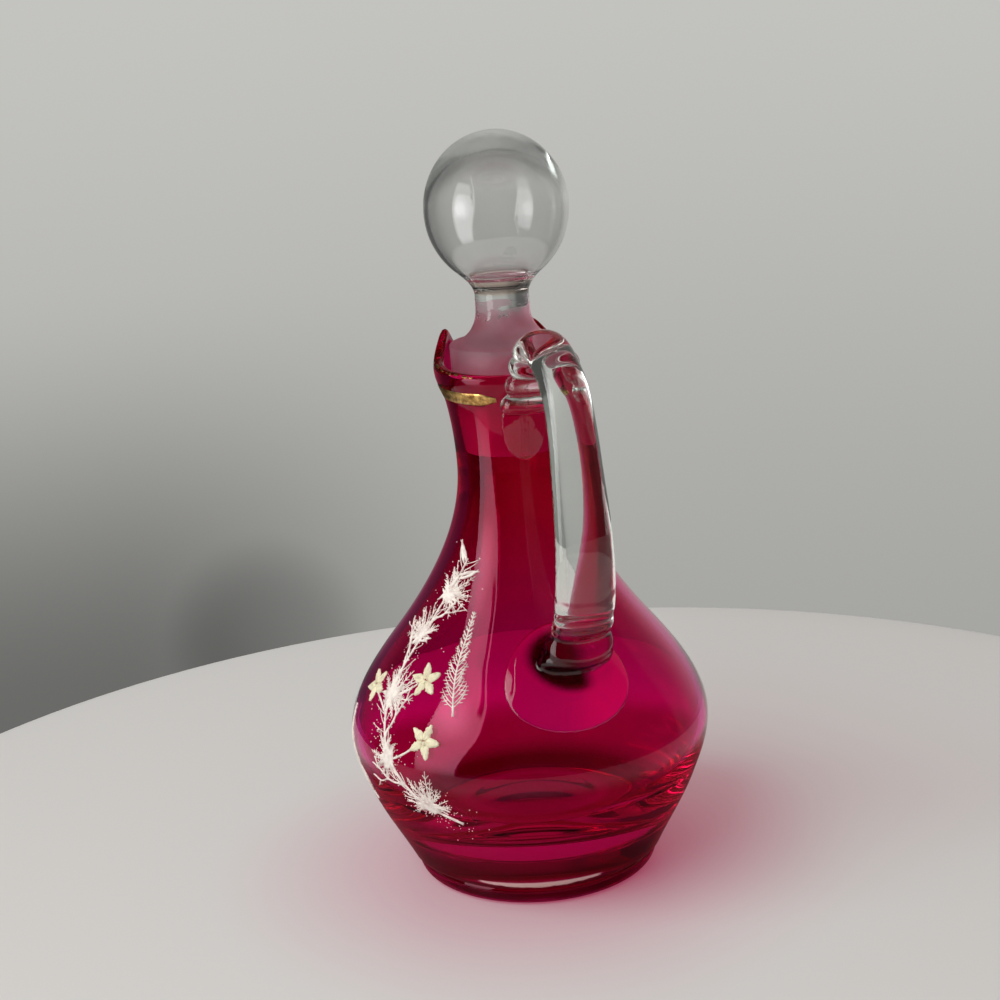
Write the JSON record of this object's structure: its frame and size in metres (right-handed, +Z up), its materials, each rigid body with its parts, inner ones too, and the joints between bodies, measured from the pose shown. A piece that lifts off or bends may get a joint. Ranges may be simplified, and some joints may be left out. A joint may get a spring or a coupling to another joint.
{
  "type": "decanter",
  "caption": "Blown glass jug decanter with a pinched mouth, an applied handle, raised enamel and a hollow ball stopper that lifts out.",
  "frame": {"origin": "on the axis of the body, in the plane that the foot stands on", "axes": "+Z up along the body's axis, +X towards the handle, -X towards the pouring lip"},
  "size_m": [0.1126, 0.1124, 0.23],
  "materials": {
    "ruby_glass": "polished, see-through",
    "clear_glass": "polished, see-through",
    "stopper_glass": "polished ball and waist, ground and frosted plug",
    "gilding": "worn satin gilt",
    "white_enamel": "raised, half matt",
    "cream_enamel": "raised, half matt"
  },
  "bodies": {
    "jug": {"body_shell": "ruby_glass", "handle": "clear_glass", "neck_gilt_band": "gilding", "lip_gilt_line": "gilding", "enamel_spray": "white_enamel", "enamel_blossom_1": "cream_enamel", "enamel_blossom_2": "cream_enamel", "enamel_blossom_3": "cream_enamel", "enamel_fern_upper": "white_enamel", "enamel_fern_lower": "white_enamel"},
    "stopper": {"stopper": "stopper_glass"}
  },
  "joints": [
    {"name": "stopper_lift", "type": "slide", "parent": "jug", "child": "stopper", "axis": [0, 0, 1], "range_m": [0, 0.05]}
  ]
}
